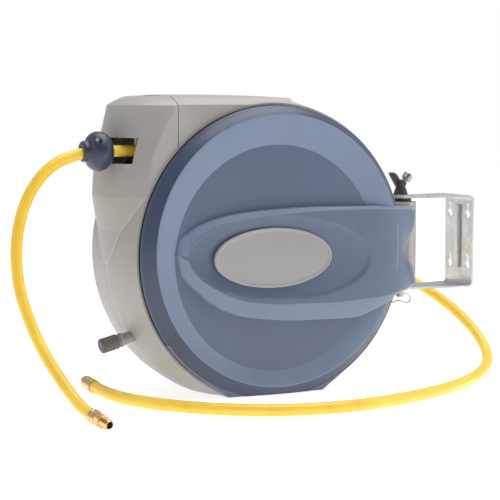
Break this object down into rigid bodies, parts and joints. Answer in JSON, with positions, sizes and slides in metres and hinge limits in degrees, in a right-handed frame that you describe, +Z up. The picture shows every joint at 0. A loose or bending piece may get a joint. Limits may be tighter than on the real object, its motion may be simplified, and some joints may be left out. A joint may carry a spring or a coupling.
{
  "type": "retractable air hose reel",
  "caption": "Wall mounted spring rewind air hose reel with a swivel bracket, dished front cover, yellow hose, hose stop ball and brass end fittings.",
  "frame": {"origin": "on the floor at the middle of the flat base, straight under the drum axis", "axes": "+X towards the wall bracket, -X to the hose outlet, -Y towards the front cover, +Z up"},
  "size_m": [0.7421, 0.3889, 0.393],
  "materials": {
    "housing_grey": "warm grey moulded plastic, fine satin",
    "cover_blue": "grey-blue moulded plastic, satin gloss",
    "badge_grey": "light grey moulded plastic",
    "black_plastic": "black moulded plastic",
    "zinc_steel": "zinc plated pressed steel",
    "bright_steel": "turned steel",
    "spring_steel": "blued spring strip",
    "brass": "machined brass",
    "hose_yellow": "yellow hose cover, satin",
    "gear_nylon": "natural nylon",
    "drum_plastic": "dark moulded drum",
    "ball_blue": "blue moulded plastic, satin",
    "rubber_black": "black rubber"
  },
  "bodies": {
    "housing": {"front_housing": "housing_grey", "rear_housing": "housing_grey", "outlet_nose": "housing_grey", "front_cover": "cover_blue", "cover_badge": "badge_grey", "front_plate": "black_plastic", "axle": "bright_steel", "axle_front_nut": "zinc_steel", "axle_rear_seat": "black_plastic", "axle_rear_nut": "zinc_steel", "rear_cap": "housing_grey", "rear_screws": "zinc_steel", "spring_arbor": "bright_steel", "pawl_pin": "bright_steel", "idler_pins": "bright_steel", "guide_rod": "bright_steel", "inlet_elbow": "brass", "inlet_ferrule": "brass", "lead_in_hose": "hose_yellow", "lead_in_ferrule": "brass", "lead_in_socket": "brass", "stop_peg": "housing_grey", "stop_peg_cap": "rubber_black", "pivot_bush_lower": "black_plastic", "pivot_bush_upper": "black_plastic"},
    "drum": {"drum_hub": "drum_plastic", "drum_flange_front": "drum_plastic", "drum_flange_rear": "drum_plastic", "drum_bush_front": "gear_nylon", "drum_bush_rear": "gear_nylon", "hose_winding": "hose_yellow", "spring_cassette": "zinc_steel", "mainspring": "spring_steel", "rotary_union": "brass", "union_nipple": "brass", "drum_gear": "gear_nylon", "ratchet_ring": "zinc_steel"},
    "idler_1": {"idler_gear_1": "gear_nylon"},
    "idler_2": {"idler_gear_2": "gear_nylon"},
    "screw": {"screw_gear": "gear_nylon", "level_wind_screw": "bright_steel"},
    "carriage": {"level_wind_carriage": "gear_nylon", "guide_roller_pins": "bright_steel", "inner_hose": "hose_yellow", "stop_ball_near": "ball_blue", "stop_ball_far": "ball_blue", "stop_ball_screws": "zinc_steel", "outlet_hose": "hose_yellow", "outlet_ferrule": "brass", "outlet_nipple": "brass"},
    "roller_near": {"guide_roller_near": "gear_nylon"},
    "roller_far": {"guide_roller_far": "gear_nylon"},
    "pawl": {"pawl": "zinc_steel"},
    "bracket": {"wall_bracket": "zinc_steel", "pivot_pin": "bright_steel", "pivot_washer": "zinc_steel", "pin_head": "black_plastic", "hairpin": "bright_steel"},
    "lock": {"lock_stem": "bright_steel", "lock_knob": "bright_steel"}
  },
  "joints": [
    {"name": "drum_spin", "type": "hinge", "parent": "housing", "child": "drum", "pos_m": [0, 0, 0.186], "axis": [0, 1, 0], "continuous": true},
    {"name": "idler_1_spin", "type": "hinge", "parent": "housing", "child": "idler_1", "pos_m": [-0.05351, 0, 0.24067], "axis": [0, 1, 0], "continuous": true},
    {"name": "idler_2_spin", "type": "hinge", "parent": "housing", "child": "idler_2", "pos_m": [-0.11018, 0, 0.29855], "axis": [0, 1, 0], "continuous": true},
    {"name": "screw_spin", "type": "hinge", "parent": "housing", "child": "screw", "pos_m": [-0.149, 0, 0.33821], "axis": [0, 1, 0], "continuous": true},
    {"name": "level_wind", "type": "slide", "parent": "housing", "child": "carriage", "axis": [0, 1, 0], "range_m": [-0.015, 0.077]},
    {"name": "roller_near_spin", "type": "hinge", "parent": "carriage", "child": "roller_near", "pos_m": [-0.1685, -0.0433, 0.3215], "axis": [0, 0, 1], "continuous": true},
    {"name": "roller_far_spin", "type": "hinge", "parent": "carriage", "child": "roller_far", "pos_m": [-0.1685, -0.0187, 0.3215], "axis": [0, 0, 1], "continuous": true},
    {"name": "pawl_drop", "type": "hinge", "parent": "housing", "child": "pawl", "pos_m": [0.04, 0.065, 0.2395], "axis": [0, 1, 0], "range_deg": [-12, 0], "stiffness_Nm_per_rad": 0.05, "springref_deg": 11.46},
    {"name": "bracket_swivel", "type": "hinge", "parent": "housing", "child": "bracket", "pos_m": [0.243, 0, 0.187], "axis": [0, 0, 1], "range_deg": [-90, 90]},
    {"name": "lock_pull", "type": "slide", "parent": "bracket", "child": "lock", "axis": [0.6392, 0, 0.769], "range_m": [0, 0.006], "stiffness_N_per_m": 300, "springref_m": -0.003}
  ],
  "couplings": [
    {"joint": "idler_1_spin", "follows": "drum_spin", "ratio": -0.88889},
    {"joint": "idler_2_spin", "follows": "drum_spin", "ratio": 0.88889},
    {"joint": "screw_spin", "follows": "drum_spin", "ratio": -2.4}
  ]
}
